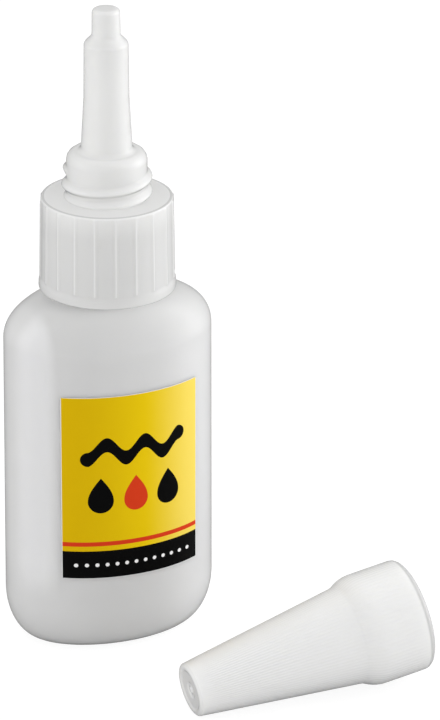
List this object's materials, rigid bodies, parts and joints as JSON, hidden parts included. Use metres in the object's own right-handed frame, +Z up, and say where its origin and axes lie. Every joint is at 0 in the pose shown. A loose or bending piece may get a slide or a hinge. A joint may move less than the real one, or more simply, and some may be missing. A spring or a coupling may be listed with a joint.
{
  "type": "bottle of instant glue",
  "caption": "Oval squeeze bottle of liquid glue with a ribbed screw closure, a long uncut nozzle and a front label, and its cone overcap lying beside it.",
  "frame": {"origin": "middle of the bottle's flat base", "axes": "+Z up along the bottle and nozzle, -Y out of the label's face, X across the bottle's width"},
  "size_m": [0.0529, 0.0541, 0.0994],
  "materials": {
    "bottle_plastic": "translucent milky white, soft sheen",
    "liquid_glue": "clear liquid",
    "label_film": "printed film, yellow over a black foot band",
    "liner_foam": "matte foam",
    "closure_plastic": "translucent natural white, satin",
    "cap_plastic": "translucent natural white, satin, finely ribbed"
  },
  "bodies": {
    "bottle": {"bottle": "bottle_plastic", "glue": "liquid_glue", "front_label": "label_film"},
    "seal_liner": {"seal_liner": "liner_foam"},
    "nozzle_closure": {"nozzle_closure": "closure_plastic"},
    "overcap": {"overcap": "cap_plastic"}
  },
  "joints": [
    {"name": "closure_lift", "type": "slide", "parent": "bottle", "child": "seal_liner", "axis": [0, 0, 1], "range_m": [0, 0.006]},
    {"name": "closure_turn", "type": "hinge", "parent": "seal_liner", "child": "nozzle_closure", "pos_m": [0, 0, 0.0686], "axis": [0, 0, 1], "range_deg": [0, 720]},
    {"name": "overcap_lift", "type": "slide", "parent": "bottle", "child": "overcap", "axis": [0, 0, 1], "range_m": [0, 0.1]}
  ],
  "couplings": [
    {"joint": "closure_lift", "follows": "closure_turn", "m_per_rad": 0.00047746}
  ]
}
